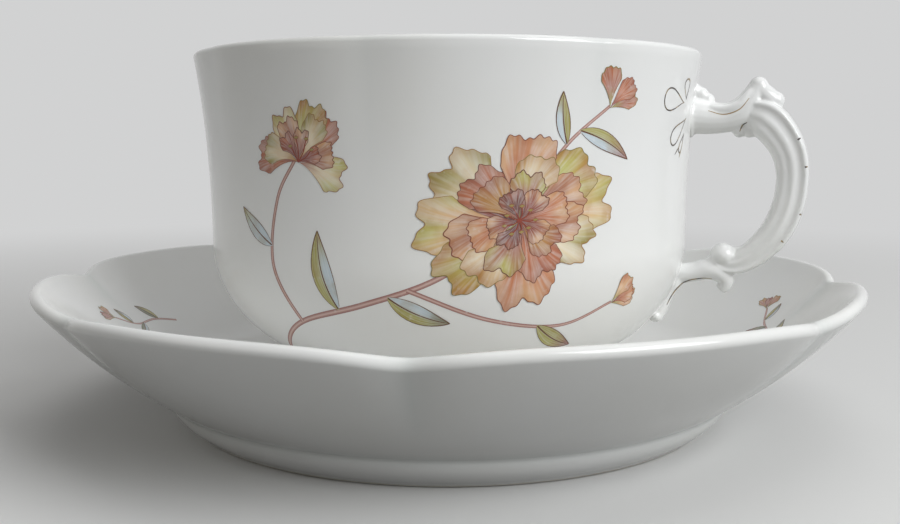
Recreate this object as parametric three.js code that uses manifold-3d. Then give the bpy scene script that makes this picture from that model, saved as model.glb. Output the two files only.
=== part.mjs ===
// A porcelain teacup with a moulded scroll handle, standing in the well of a deep scalloped saucer.
// Millimetres, +Z up. The origin is on the table under the middle of the saucer, and the handle is along +X.
import * as THREE from 'three';
import { mergeVertices } from 'three/addons/utils/BufferGeometryUtils.js';
import Module from 'manifold-3d';

const wasm = await Module();
wasm.setup();

// Saucer
const SAUCER_RADIUS = 70.5; // axis to the edge in the middle of a lobe
const SAUCER_HEIGHT = 25; // table to the top of the lip
const SAUCER_WALL = 2.8; // thickness of the sloping wall at its foot
const SAUCER_LIP = 2; // thickness the wall thins down to at its rounded lip
const SAUCER_WALL_BOW = 1; // how far the wall swells outside a straight line from foot to lip
const SAUCER_FLOOR = 3; // thickness of the floor under the well
const SAUCER_FOOT_RADIUS = 46; // standing edge of the foot ring
const SAUCER_FOOT_WIDTH = 2.4; // width of the standing edge
const SAUCER_FOOT_HEIGHT = 5.4; // table to the crease where the wall starts
const SAUCER_FOOT_FLARE = 4; // how far the foot ring spreads between standing edge and crease
const SAUCER_FILLET = 6; // run of the soft corner between floor and wall
const WELL_DEPTH = 0.8; // step down to the well that centres the cup
const WELL_CLEARANCE = 1.6; // between the cup's foot ring and the edge of the well
const LOBES = 8; // scallops round the saucer, and soft flutes round the cup
const NOTCH_DEPTH = 2.6; // how far the edge draws in between two lobes
const NOTCH_DROP = 1.8; // how far the edge dips between two lobes
const FLUTE_FLOOR = 2; // outside the floor's corner, where the saucer's flutes fade out
const NOTCH_POINT = 7; // a higher power keeps the notches narrower
const CREASE_SPREAD = 4; // a higher power keeps the creases narrower
const SAUCER_TURN = THREE.MathUtils.degToRad(11); // turn of the saucer under the cup

// Cup
const CUP_HEIGHT = 56;
const CUP_RIM_RADIUS = 44;
const CUP_WAIST_RADIUS = 41.5; // where the upright wall meets the round lower body
const CUP_SHOULDER = 24; // height of that waist above the foot's standing edge
const CUP_BELLY = 28; // how far the round lower body draws in below the waist
const CUP_LIFT = 2; // underside of the body above the standing edge
const CUP_WALL = 2.2;
const CUP_FLOOR = 2.8;
const CUP_RECESS = 1.8; // depth of the hollow inside the foot ring
const CUP_FOOT_RADIUS = 23.6;
const CUP_FOOT_WIDTH = 2.4;
const FLARE_POWER = 2.2; // a higher power keeps the flare nearer to the rim
const CUP_FLUTE_DEPTH = 0.6; // how far each crease draws in at the rim
const CUP_SEAT_GAP = 0.2; // between the cup's foot and the saucer's well

// Handle
const HANDLE_DROP = 11; // rim down to the middle of the upper arm
const HANDLE_RISE = 19.2; // standing edge up to the middle of the leaf bracket
const HANDLE_REACH = 17; // waist out to the middle of the C-scroll
const STRAP_DEPTH = 5.4; // scroll strap, measured in the plane of the handle
const STRAP_BREADTH = 6.2; // scroll strap, measured across the handle
const RIB = 0.09; // raised rib along the strap, as a share of its size
const SCROLL_DEPTHS = 4.78; // strap depths from bracket to arm, before the C is stretched to fit the cup
const C_MIDDLE = [0.25, 0.85]; // share of the scroll that stretches, with both its ends kept as they are
const TOE_LENGTH = 8; // leaf toe that runs down the bowl below the bracket
const SLIP_LAYER = 0.6; // slip between the handle and the bowl
const SLIP_SPREAD = 0.5; // bead of slip that squeezes out round each root
const SLIP_GAP = 0.15; // fit between the slip and the pieces it joins

// Fineness of the surfaces
const SAUCER_SEGMENTS = 80;
const CUP_SEGMENTS = 64;
const NOTCH_CROWDING = 0.55; // how much the saucer's segments crowd towards the notches
const EDGE = 0.4; // softened standing edges
const STRAP_SIDES = 12;

const point = (radius, height) => new THREE.Vector2(radius, height);
const smooth = (value, low, high) => THREE.MathUtils.smoothstep(value, low, high);

// A closed mesh as a solid: vertices merged, slivers at the poles dropped
function solidFrom(geometry) {
  const bare = geometry.clone();
  bare.deleteAttribute('normal');
  bare.deleteAttribute('uv');
  const merged = mergeVertices(bare, 1e-4);
  const corners = [];
  for (let i = 0; i < merged.index.count; i += 3) {
    const [a, b, c] = [0, 1, 2].map((k) => merged.index.getX(i + k));
    if (a !== b && b !== c && c !== a) corners.push(a, b, c);
  }
  const mesh = new wasm.Mesh({
    numProp: 3,
    vertProperties: merged.getAttribute('position').array,
    triVerts: new Uint32Array(corners),
  });
  return new wasm.Manifold(mesh);
}

function geometryFrom(solid) {
  const mesh = solid.getMesh();
  const geometry = new THREE.BufferGeometry();
  geometry.setAttribute('position', new THREE.BufferAttribute(new Float32Array(mesh.vertProperties), 3));
  geometry.setIndex(new THREE.BufferAttribute(new Uint32Array(mesh.triVerts), 1));
  geometry.computeVertexNormals();
  return geometry;
}

// Revolves a profile about +Z. Angles run from -Y towards +X, with a notch at 0, and mould(point, notch)
// moves each profile point by how near its angle is to a notch: 1 in the notch, 0 in the middle of a lobe.
function revolve(profile, segments, crowding, mould) {
  const lathe = new THREE.LatheGeometry(profile, segments);
  const position = lathe.getAttribute('position');
  const pitch = (2 * Math.PI) / LOBES;
  for (let i = 0; i < position.count; i++) {
    const radius = Math.hypot(position.getX(i), position.getZ(i));
    const even = Math.atan2(position.getX(i), position.getZ(i));
    const angle = even - (crowding / LOBES) * Math.sin(even * LOBES);
    const phase = angle / pitch - Math.floor(angle / pitch);
    const moved = mould(point(radius, position.getY(i)), Math.abs(2 * phase - 1));
    position.setXYZ(i, moved.x * Math.sin(angle), -moved.x * Math.cos(angle), moved.y);
  }
  return solidFrom(lathe);
}

// Saucer: centre line of the wall from the crease above the foot to the middle of the lip
const creaseRadius = SAUCER_FOOT_RADIUS + SAUCER_FOOT_FLARE;
const lipMiddle = point(SAUCER_RADIUS - SAUCER_LIP / 2, SAUCER_HEIGHT - SAUCER_LIP / 2);
const wallSlope = Math.atan2(lipMiddle.y - SAUCER_FOOT_HEIGHT, lipMiddle.x - creaseRadius);
const wallUp = point(-Math.sin(wallSlope), Math.cos(wallSlope));
const wallFoot = point(creaseRadius, SAUCER_FOOT_HEIGHT).addScaledVector(wallUp, SAUCER_WALL / 2);
const wallMiddle = wallFoot.clone().add(lipMiddle).multiplyScalar(0.5);
const wallBend = wallMiddle.addScaledVector(wallUp, -2 * SAUCER_WALL_BOW);
const wallLine = new THREE.QuadraticBezierCurve(wallFoot, wallBend, lipMiddle);
const floorHeight = wallFoot.y + wallUp.y * (SAUCER_WALL / 2);
const wellHeight = floorHeight - WELL_DEPTH;
const wellRadius = CUP_FOOT_RADIUS + WELL_CLEARANCE;

// A point of the wall, offset from its centre line: -1 is the outside, +1 the inside
function wallPoint(share, side) {
  const along = wallLine.getTangent(share);
  const thickness = THREE.MathUtils.lerp(SAUCER_WALL, SAUCER_LIP, share);
  return wallLine.getPoint(share).addScaledVector(point(-along.y, along.x), (side * thickness) / 2);
}

function saucerProfile() {
  const recessHeight = wellHeight - SAUCER_FLOOR;
  const footInside = SAUCER_FOOT_RADIUS - SAUCER_FOOT_WIDTH;
  const steps = 6;
  const outside = Array.from({ length: steps + 1 }, (_, i) => wallPoint(i / steps, -1));
  const lipTurn = wallLine.getTangent(1).angle();
  const lip = [-45, 0, 45].map((degrees) => {
    const turn = lipTurn + THREE.MathUtils.degToRad(degrees);
    return lipMiddle.clone().add(point(Math.cos(turn), Math.sin(turn)).multiplyScalar(SAUCER_LIP / 2));
  });
  const inside = Array.from({ length: steps }, (_, i) => wallPoint(1 - i / steps, 1));
  const corner = new THREE.QuadraticBezierCurve(
    inside.at(-1),
    wallPoint(0, 1),
    point(wallPoint(0, 1).x - SAUCER_FILLET, floorHeight),
  );
  const foot = new THREE.QuadraticBezierCurve(
    point(SAUCER_FOOT_RADIUS, EDGE),
    point(creaseRadius - EDGE, SAUCER_FOOT_HEIGHT / 2),
    outside[0],
  );
  return [
    point(0, recessHeight),
    point(footInside - EDGE, recessHeight),
    point(footInside, EDGE),
    point(footInside + EDGE, 0),
    point(SAUCER_FOOT_RADIUS - EDGE, 0),
    ...foot.getPoints(3),
    ...outside.slice(1),
    ...lip,
    ...inside,
    ...corner.getPoints(3).slice(1),
    point(wellRadius + 2 * WELL_DEPTH, floorHeight),
    point(wellRadius, wellHeight),
    point(0, wellHeight),
  ];
}

// Each notch draws the edge in and down, and fades down the wall into the floor
function mouldSaucer(original, notch) {
  const fade = smooth(original.x, creaseRadius + FLUTE_FLOOR, SAUCER_RADIUS);
  const drawIn = NOTCH_DEPTH * fade * notch ** NOTCH_POINT;
  const dip = NOTCH_DROP * fade * notch ** CREASE_SPREAD;
  return point(original.x - drawIn, original.y - dip);
}

// Bowl: outside radius at a height above the standing edge, with an allowance all round
function bowlRadius(height, allowance = 0) {
  if (height >= CUP_SHOULDER) {
    const share = (height - CUP_SHOULDER) / (CUP_HEIGHT - CUP_SHOULDER);
    return CUP_WAIST_RADIUS + (CUP_RIM_RADIUS - CUP_WAIST_RADIUS) * share ** FLARE_POWER + allowance;
  }
  const drop = (CUP_SHOULDER - height) / (CUP_SHOULDER - CUP_LIFT + allowance);
  return CUP_WAIST_RADIUS - CUP_BELLY + (CUP_BELLY + allowance) * Math.sqrt(Math.max(0, 1 - drop * drop));
}

// Round lower body as a quarter ellipse from its underside up to the waist
function bellyPoints(steps, start, allowance, floor) {
  const across = CUP_BELLY + allowance;
  const down = CUP_SHOULDER - floor;
  return Array.from({ length: steps }, (_, i) => {
    const turn = start + ((Math.PI / 2 - start) * i) / steps;
    const radius = CUP_WAIST_RADIUS - CUP_BELLY + across * Math.sin(turn);
    return point(radius, CUP_SHOULDER - down * Math.cos(turn));
  });
}

function flarePoints(steps, top, allowance) {
  return Array.from({ length: steps + 1 }, (_, i) => {
    const height = CUP_SHOULDER + ((top - CUP_SHOULDER) * i) / steps;
    return point(bowlRadius(height, allowance), height);
  });
}

function bowlProfile() {
  const footInside = CUP_FOOT_RADIUS - CUP_FOOT_WIDTH;
  const footTurn = Math.asin((CUP_FOOT_RADIUS + EDGE - CUP_WAIST_RADIUS + CUP_BELLY) / CUP_BELLY);
  const lipHeight = CUP_HEIGHT - CUP_WALL / 2;
  const lipMiddleRadius = bowlRadius(lipHeight) - CUP_WALL / 2;
  const lip = [45, 90, 135].map((degrees) => {
    const turn = THREE.MathUtils.degToRad(degrees);
    return point(
      lipMiddleRadius + (CUP_WALL / 2) * Math.cos(turn),
      lipHeight + (CUP_WALL / 2) * Math.sin(turn),
    );
  });
  const inside = [
    ...bellyPoints(7, 0, -CUP_WALL, CUP_RECESS + CUP_FLOOR),
    ...flarePoints(5, lipHeight, -CUP_WALL),
  ].reverse();
  return [
    point(0, CUP_RECESS),
    point(footInside - EDGE, CUP_RECESS),
    point(footInside, EDGE),
    point(footInside + EDGE, 0),
    point(CUP_FOOT_RADIUS - EDGE, 0),
    point(CUP_FOOT_RADIUS, EDGE),
    ...bellyPoints(7, footTurn, 0, CUP_LIFT),
    ...flarePoints(5, lipHeight, 0),
    ...lip,
    ...inside,
    point(0, CUP_RECESS + CUP_FLOOR),
  ];
}

// Soft creases that start in the round lower body and deepen towards the rim
function mouldBowl(original, notch) {
  const fade = smooth(original.y, CUP_SHOULDER, CUP_HEIGHT);
  return point(original.x - CUP_FLUTE_DEPTH * fade * notch ** CREASE_SPREAD, original.y);
}

// The bowl filled in and grown by an allowance, to cut what is luted to it
function bowlForm(allowance) {
  const profile = [
    point(0, CUP_LIFT - allowance),
    ...bellyPoints(9, 0, allowance, CUP_LIFT - allowance),
    ...flarePoints(5, CUP_HEIGHT, allowance),
    point(CUP_RIM_RADIUS + allowance, CUP_HEIGHT + CUP_WALL),
    point(0, CUP_HEIGHT + CUP_WALL),
  ];
  return revolve(profile, CUP_SEGMENTS, 0, mouldBowl);
}

// Handle: stations are [share of the reach, share of the scroll's height, half depth, half breadth],
// the last two as shares of half the strap's depth and breadth
const armHeight = CUP_HEIGHT - HANDLE_DROP;
const scrollHeight = SCROLL_DEPTHS * STRAP_DEPTH;
const stretch = armHeight - HANDLE_RISE - scrollHeight;

function place(out, up) {
  const height = HANDLE_RISE + scrollHeight * up + stretch * smooth(up, ...C_MIDDLE);
  return new THREE.Vector3(CUP_WAIST_RADIUS + HANDLE_REACH * out, 0, height);
}

const armStations = [
  [-0.11, 1.02, 1.25, 1.05],
  [0.2, 1.005, 1.0, 0.95],
  [0.38, 1.005, 0.92, 0.92],
  [0.535, 1.055, 0.98, 0.95],
  [0.62, 1.155, 0.78, 0.84],
  [0.66, 1.21, 0.5, 0.62],
];
const shoulderStations = [
  [0.653, 1.194, 0.57, 0.57],
  [0.729, 1.139, 0.7, 0.7],
  [0.8, 1.105, 0.63, 0.63],
];
const scrollStations = [
  [0.575, 0.985, 0.9, 0.85],
  [0.755, 0.96, 1.22, 0.96],
  [0.905, 0.855, 1.08, 1.0],
  [0.995, 0.65, 0.96, 1.0],
  [0.965, 0.415, 0.95, 1.0],
  [0.83, 0.235, 0.91, 0.98],
  [0.595, 0.095, 0.75, 0.92],
  [0.41, 0.115, 0.56, 0.85],
];
const bracketStations = [
  [-0.18, 0.0, 0.66, 0.85],
  [0.075, -0.01, 0.58, 0.78],
  [0.23, 0.01, 0.7, 0.82],
  [0.335, -0.035, 0.56, 0.78],
  [0.4, -0.09, 0.42, 0.62],
];
// Beads that end or trim the scrolls: [share of the reach, share of the scroll, share of half the depth]
const beads = {
  thumbRest: [0.66, 1.205, 0.52],
  secondKnob: [0.82, 1.095, 0.6],
  spur: [0.505, 0.915, 0.42],
  spurFill: [0.588, 0.934, 0.52],
  upperCrest: [0.1, 1.155, 0.72],
  lowerCrest: [0.18, 1.13, 0.58],
  volute: [0.395, 0.125, 0.8],
  voluteFill: [0.46, 0.13, 0.55],
  bracketTip: [0.38, -0.093, 0.44],
};

// A strap along stations in the plane of the handle, with a ribbed oval section and closed ends
function strap(stations, centres, grow) {
  const spine = new THREE.CatmullRomCurve3(centres);
  const sizes = new THREE.CatmullRomCurve3(
    stations.map(([, , depth, breadth]) => new THREE.Vector3(depth, breadth, 0)),
  );
  const rings = (stations.length - 1) * 4;
  const vertices = [];
  const faces = [];
  for (let ring = 0; ring <= rings; ring++) {
    const share = ring / rings;
    const centre = spine.getPoint(share);
    const along = spine.getTangent(share);
    const size = sizes.getPoint(share);
    const depth = (size.x * STRAP_DEPTH) / 2 + grow;
    const breadth = (size.y * STRAP_BREADTH) / 2 + grow;
    for (let side = 0; side < STRAP_SIDES; side++) {
      const turn = (2 * Math.PI * side) / STRAP_SIDES;
      const ribbed = 1 + RIB * Math.cos(4 * turn);
      const inPlane = depth * ribbed * Math.cos(turn);
      const across = breadth * ribbed * Math.sin(turn);
      vertices.push(centre.x - along.z * inPlane, across, centre.z + along.x * inPlane);
      const next = (side + 1) % STRAP_SIDES;
      const [low, high] = [ring * STRAP_SIDES, (ring + 1) * STRAP_SIDES];
      if (ring < rings) faces.push(low + side, high + side, low + next, low + next, high + side, high + next);
    }
  }
  const [first, last] = [vertices.length / 3, vertices.length / 3 + 1];
  for (const centre of [spine.getPoint(0), spine.getPoint(1)]) vertices.push(centre.x, centre.y, centre.z);
  for (let side = 0; side < STRAP_SIDES; side++) {
    const next = (side + 1) % STRAP_SIDES;
    const end = rings * STRAP_SIDES;
    faces.push(first, side, next, last, end + next, end + side);
  }
  const geometry = new THREE.BufferGeometry();
  geometry.setAttribute('position', new THREE.BufferAttribute(new Float32Array(vertices), 3));
  geometry.setIndex(faces);
  return solidFrom(geometry);
}

const flatStrap = (stations, grow) =>
  strap(stations, stations.map(([out, up]) => place(out, up)), grow);

// Leaf toe: its centre line follows the outside of the bowl
function toe(grow) {
  const stations = [[0, 0, 0.55, 1.0], [0, 0.4, 0.46, 0.86], [0, 0.78, 0.42, 0.84], [0, 1, 0.34, 0.62]];
  const centres = stations.map(([, down]) => {
    const height = HANDLE_RISE - down * TOE_LENGTH;
    return new THREE.Vector3(bowlRadius(height) + SLIP_LAYER, 0, height);
  });
  return strap(stations, centres, grow);
}

function bead([out, up, size], grow) {
  const radius = (size * STRAP_DEPTH) / 2 + grow;
  const across = (size * STRAP_BREADTH) / 2 + grow;
  const centre = place(out, up);
  const sphere = new THREE.SphereGeometry(1, 14, 8).rotateX(Math.PI / 2);
  return solidFrom(sphere.scale(radius, across, radius).translate(centre.x, centre.y, centre.z));
}

// The whole moulding, before it is fitted to the bowl
function handleForm(grow) {
  const routes = [armStations, shoulderStations, scrollStations, bracketStations];
  const straps = routes.map((stations) => flatStrap(stations, grow));
  const trims = Object.values(beads).map((trim) => bead(trim, grow));
  return [...straps, toe(grow), ...trims].reduce((whole, piece) => whole.add(piece));
}

const slipInside = bowlForm(SLIP_GAP);
const slipOutside = bowlForm(SLIP_GAP + SLIP_LAYER);
const slipLayer = handleForm(SLIP_SPREAD).intersect(slipOutside.subtract(slipInside));
const [upperSlip, lowerSlip] = slipLayer.splitByPlane([0, 0, 1], (HANDLE_RISE + armHeight) / 2);
const handle = handleForm(0).subtract(bowlForm(2 * SLIP_GAP + SLIP_LAYER));

const glaze = (color) => new THREE.MeshStandardMaterial({ color, roughness: 0.18, metalness: 0 });

function named(name, solid, color) {
  const mesh = new THREE.Mesh(geometryFrom(solid), glaze(color));
  mesh.name = name;
  return mesh;
}

const saucerSolid = revolve(saucerProfile(), SAUCER_SEGMENTS, NOTCH_CROWDING, mouldSaucer);
const saucer = named('saucer', saucerSolid, 0xe9eae8);
saucer.rotation.z = SAUCER_TURN;

const cup = new THREE.Group();
cup.position.z = wellHeight + CUP_SEAT_GAP;
cup.add(
  named('cup_bowl', revolve(bowlProfile(), CUP_SEGMENTS, 0, mouldBowl), 0xf0f0ec),
  named('cup_handle', handle, 0xf2f2ef),
  named('upper_slip_seam', upperSlip, 0xefefeb),
  named('lower_slip_seam', lowerSlip, 0xefefeb),
);

const teacup = new THREE.Group();
teacup.add(saucer, cup);
export default teacup;
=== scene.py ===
import math
import random

import bpy
import numpy as np
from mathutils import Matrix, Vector


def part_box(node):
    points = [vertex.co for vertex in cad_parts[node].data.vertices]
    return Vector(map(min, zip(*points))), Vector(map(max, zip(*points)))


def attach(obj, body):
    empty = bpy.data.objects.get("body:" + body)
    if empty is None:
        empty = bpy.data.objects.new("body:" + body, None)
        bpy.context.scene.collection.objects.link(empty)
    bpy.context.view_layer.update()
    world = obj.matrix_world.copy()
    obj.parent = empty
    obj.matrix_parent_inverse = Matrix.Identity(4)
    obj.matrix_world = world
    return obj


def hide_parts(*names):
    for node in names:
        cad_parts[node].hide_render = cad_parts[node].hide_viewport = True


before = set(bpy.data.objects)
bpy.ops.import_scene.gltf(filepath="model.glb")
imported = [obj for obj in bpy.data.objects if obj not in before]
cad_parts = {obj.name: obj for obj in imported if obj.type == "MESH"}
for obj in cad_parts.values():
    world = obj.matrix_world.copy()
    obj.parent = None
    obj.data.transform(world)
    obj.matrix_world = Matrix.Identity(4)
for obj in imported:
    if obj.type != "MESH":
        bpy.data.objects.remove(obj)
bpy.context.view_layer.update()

mm = 0.001  # the dictionaries below hold millimetres
weldGap = 0.002  # corners closer than this become one


def deselectAll():
    bpy.ops.object.select_all(action="DESELECT")


def pick(*pieces):  # these pieces alone, the first one active
    deselectAll()
    for piece in pieces:
        piece.select_set(True)
    bpy.context.view_layer.objects.active = pieces[0]


def finishWith(piece, kind, **settings):  # one modifier, set and applied
    pick(piece)
    modifier = piece.modifiers.new(kind.lower(), kind)
    for name, value in settings.items():
        setattr(modifier, name, value)
    bpy.ops.object.modifier_apply(modifier=modifier.name)


def closeSeams(piece):  # merges seams and poles, then turns the faces outwards
    pick(piece)
    bpy.ops.object.mode_set(mode="EDIT")
    bpy.ops.mesh.select_all(action="SELECT")
    bpy.ops.mesh.remove_doubles(threshold=weldGap * mm)
    bpy.ops.mesh.normals_make_consistent(inside=False)
    bpy.ops.object.mode_set(mode="OBJECT")


def readCorners(piece):
    corners = np.empty(len(piece.data.vertices) * 3)
    piece.data.vertices.foreach_get("co", corners)
    return corners.reshape(-1, 3)


def moveCorners(piece, corners):
    piece.data.vertices.foreach_set("co", corners.ravel())
    piece.data.update()


def markCorners(piece, name, values):  # one number per corner, for the materials to read
    marks = piece.data.attributes.new(name, "FLOAT", "POINT")
    marks.data.foreach_set("value", np.asarray(values, float))


def easeBetween(value, low, high):
    share = np.clip((value - low) / (high - low), 0, 1)
    return share * share * (3 - 2 * share)


def throwOnWheel(name, profile, steps):  # a profile, drawn point by point, spun about the cup's axis
    deselectAll()
    bpy.ops.mesh.primitive_plane_add(size=mm)
    piece = bpy.context.object
    piece.name = piece.data.name = name
    bpy.ops.object.mode_set(mode="EDIT")
    bpy.ops.mesh.select_all(action="SELECT")
    bpy.ops.mesh.merge(type="CENTER")
    places = [Vector((radius, 0, height)) * mm for radius, height in profile]
    bpy.ops.transform.translate(value=places[0])
    for here, there in zip(places, places[1:]):
        bpy.ops.mesh.extrude_region_move(TRANSFORM_OT_translate={"value": there - here})
    bpy.ops.mesh.select_all(action="SELECT")
    bpy.ops.mesh.spin(steps=steps, angle=2 * math.pi, center=(0, 0, 0), axis=(0, 0, 1))
    bpy.ops.object.mode_set(mode="OBJECT")
    closeSeams(piece)
    pick(piece)
    bpy.ops.object.shade_smooth()
    return piece


def roundAxis(radius, angle, height):  # angle 0 is the front, and turns towards the handle
    return np.stack((radius * np.sin(angle), -radius * np.cos(angle), height), axis=1)


def nearNotch(angle, lobes, soft=0.0):  # 1 in a notch, 0 in the middle of a lobe
    phase = angle * lobes / (2 * math.pi)
    notch = np.abs(2 * (phase - np.floor(phase)) - 1)
    return 1 + soft / 2 - np.hypot(1 - notch, soft)  # soft rounds the bottom of a notch


def arcPoints(centre, radius, start, end, count):  # degrees
    turns = np.radians(np.linspace(start, end, count))
    return [(centre[0] + radius * math.cos(turn), centre[1] + radius * math.sin(turn)) for turn in turns]


def bendPoints(start, bend, end, count):  # quadratic curve
    shares = np.linspace(0, 1, count)
    start, bend, end = np.array(start), np.array(bend), np.array(end)
    return [tuple((1 - t) ** 2 * start + 2 * t * (1 - t) * bend + t * t * end) for t in shares]


# Saucer: a pressed dish with eight lobes, each notch fading down the wall as a soft crease
saucer = {
    "radius": 70.5,
    "wall": 2.8,
    "lip": 2.0,
    "wallBow": 1.0,
    "floor": 3.0,
    "footRadius": 46.0,
    "footWidth": 2.4,
    "footHeight": 5.4,
    "footFlare": 4.0,
    "fillet": 6.0,
    "wellRadius": 25.2,
    "wellDepth": 0.8,
    "notchDepth": 2.6,
    "notchDrop": 1.8,
    "notchPoint": 7,
    "notchSoft": 0.09,
    "strays": {56: 8, -34: -3},  # notches that stand off their even places, in degrees
    "strayReach": 20,
    "creaseSpread": 4,
    "creaseFloor": 2.0,
    "crowding": 0.55,
    "lobes": 8,
    "turn": 11,
    "steps": 384,
    "points": {"recess": 7, "foot": 14, "footSide": 10, "wall": 44, "lip": 17, "inside": 40, "corner": 16,
               "floor": 8, "well": 6},  # along each stretch of the profile
    "hub": 12.0,
    "recessBend": (3.0, 0.4),
    "recessEnd": (0.2, 1.6),
    "footTurns": (180, 330),
    "footTuck": 0.6,
    "cornerStart": 1 / 6,  # share of the wall's length
    "wellRun": 1.0,
    "wellSide": (0.8, 0.4),
    "poolSharpness": 12,
    "poolReach": (54, 68),
    "footPoolHeight": 1.6,
    "footPoolReach": (3, 1),
    "specks": 0.05,
}
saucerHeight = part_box("saucer")[1][2] / mm
creaseRadius = saucer["footRadius"] + saucer["footFlare"]
lipMiddle = np.array((saucer["radius"] - saucer["lip"] / 2, saucerHeight - saucer["lip"] / 2))
wallSlope = math.atan2(lipMiddle[1] - saucer["footHeight"], lipMiddle[0] - creaseRadius)
wallUp = np.array((-math.sin(wallSlope), math.cos(wallSlope)))
wallFoot = np.array((creaseRadius, saucer["footHeight"])) + wallUp * saucer["wall"] / 2
wallBend = (wallFoot + lipMiddle) / 2 - wallUp * 2 * saucer["wallBow"]
floorHeight = wallFoot[1] + wallUp[1] * saucer["wall"] / 2
wellHeight = floorHeight - saucer["wellDepth"]


def wallPoint(share, side, lift=0.0):  # side -1 is the outside of the saucer's wall, +1 the inside
    share = np.asarray(share, float)[..., None]
    half = (saucer["wall"] + (saucer["lip"] - saucer["wall"]) * share) / 2
    middle = (1 - share) ** 2 * wallFoot + 2 * share * (1 - share) * wallBend + share ** 2 * lipMiddle
    along = 2 * (1 - share) * (wallBend - wallFoot) + 2 * share * (lipMiddle - wallBend)
    along = along / np.linalg.norm(along, axis=-1, keepdims=True)
    across = np.stack((-along[..., 1], along[..., 0]), axis=-1)
    return middle + across * (half * side + lift)


def strayed(angle):  # where an angle of the evenly lobed form comes to lie
    moved = angle
    for place, offset in saucer["strays"].items():
        away = (np.degrees(angle) - place + 180) % 360 - 180
        moved = moved + math.radians(offset) * np.exp(-(away / saucer["strayReach"]) ** 2)
    return moved


def mouldSaucer(radius, height, angle):  # each notch draws the edge in and down
    notch = nearNotch(angle - math.radians(saucer["turn"]), saucer["lobes"], saucer["notchSoft"])
    fade = easeBetween(radius, creaseRadius + saucer["creaseFloor"], saucer["radius"])
    drawnIn = saucer["notchDepth"] * fade * notch ** saucer["notchPoint"]
    dipped = saucer["notchDrop"] * fade * notch ** saucer["creaseSpread"]
    return radius - drawnIn, height - dipped


def saucerProfile():  # from the middle of the underside round the lip to the middle of the well
    points = saucer["points"]
    recess = wellHeight - saucer["floor"]
    footInside = saucer["footRadius"] - saucer["footWidth"]
    bendStart, bendMiddle = saucer["recessBend"]
    recessIn, recessDown = saucer["recessEnd"]
    under = [(0, recess), (footInside - saucer["hub"], recess)]
    under += bendPoints((footInside - bendStart, recess), (footInside - bendMiddle, recess),
                        (footInside - recessIn, recess - recessDown), points["recess"])
    edge = saucer["footWidth"] / 2
    foot = arcPoints((footInside + edge, edge), edge, *saucer["footTurns"], points["foot"])
    outside = [tuple(p) for p in wallPoint(np.linspace(0, 1, points["wall"]), -1.0)]
    footBend = (creaseRadius - saucer["footTuck"], saucer["footHeight"] / 2)
    footSide = bendPoints(foot[-1], footBend, outside[0], points["footSide"])[1:-1]
    lipTurn = math.degrees(math.atan2(*(lipMiddle - wallBend)[::-1]))
    lip = arcPoints(lipMiddle, saucer["lip"] / 2, lipTurn - 90, lipTurn + 90, points["lip"])[1:-1]
    inside = [tuple(p) for p in wallPoint(np.linspace(1, saucer["cornerStart"], points["inside"]), 1.0)]
    wallEnd = wallPoint(0.0, 1.0)
    cornerEnd = (wallEnd[0] - saucer["fillet"], floorHeight)
    corner = bendPoints(inside[-1], wallEnd, cornerEnd, points["corner"])[1:]
    wellRadius = saucer["wellRadius"]
    wellEdge = wellRadius + 2 * saucer["wellDepth"]
    floorEnd = wellEdge + saucer["wellRun"]
    floor = [(radius, floorHeight) for radius in np.linspace(cornerEnd[0], floorEnd, points["floor"])[1:-1]]
    wellSide = (wellEdge - saucer["wellSide"][0], wellHeight + saucer["wellSide"][1])
    well = bendPoints((floorEnd, floorHeight), (wellEdge, floorHeight), wellSide, points["well"])
    well += bendPoints(wellSide, (wellRadius, wellHeight), (wellRadius - saucer["wellRun"], wellHeight),
                       points["well"])[1:]
    middle = [(saucer["hub"], wellHeight), (0, wellHeight)]
    return under + foot + footSide + outside + lip + inside + corner + floor + well + middle


def makeSaucer():
    piece = throwOnWheel("saucerDish", saucerProfile(), saucer["steps"])
    corners = readCorners(piece) / mm
    radius = np.hypot(corners[:, 0], corners[:, 1])
    turn = math.radians(saucer["turn"])
    even = np.arctan2(corners[:, 0], -corners[:, 1]) - turn
    angle = even - saucer["crowding"] / saucer["lobes"] * np.sin(even * saucer["lobes"]) + turn
    moved, height = mouldSaucer(radius, corners[:, 2], angle)
    moveCorners(piece, roundAxis(moved, strayed(angle), height) * mm)
    notchPool = nearNotch(angle - turn, saucer["lobes"]) ** saucer["poolSharpness"]
    notchPool = notchPool * easeBetween(radius, *saucer["poolReach"])
    footPool = 1 - np.clip(np.abs(corners[:, 2] - saucer["footHeight"]) / saucer["footPoolHeight"], 0, 1)
    footPool = footPool * easeBetween(radius, *(creaseRadius - np.array(saucer["footPoolReach"])))
    markCorners(piece, "pooling", np.clip(notchPool + footPool, 0, 1))
    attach(piece, "saucer")
    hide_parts("saucer")
    print("saucer moulded,", len(piece.data.polygons), "faces")
    return piece


# Bowl of the cup: a round lower body, an upright wall that flares at the rim, and soft flutes
cup = {
    "rimRadius": 44.0,
    "waistRadius": 41.5,
    "shoulder": 24.0,
    "belly": 28.0,
    "lift": 2.0,
    "wall": 2.2,
    "lip": 1.7,
    "floor": 2.8,
    "recess": 1.8,
    "footRadius": 23.6,
    "footWidth": 2.4,
    "flarePower": 2.2,
    "fluteDepth": 0.6,
    "fluteSpread": 4,
    "fluteSoft": 0.15,
    "flutes": 8,
    "steps": 192,
    "points": {"recess": 6, "foot": 14, "footJoin": 6, "belly": 30, "wall": 26, "lip": 13},
    "hub": 6.0,
    "recessBend": (1.6, 0.2),
    "footTurns": (180, 350),
    "footSwell": 1.2,
    "footTuck": (0.1, 0.2),
    "poolSharpness": 7,
    "poolShare": 0.4,
    "footPoolHeight": (2, 6),
    "footPoolReach": 1.0,
    "specks": 0.03,
}
bowlLow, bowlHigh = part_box("cup_bowl")
cupFoot = bowlLow[2] / mm
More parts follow.
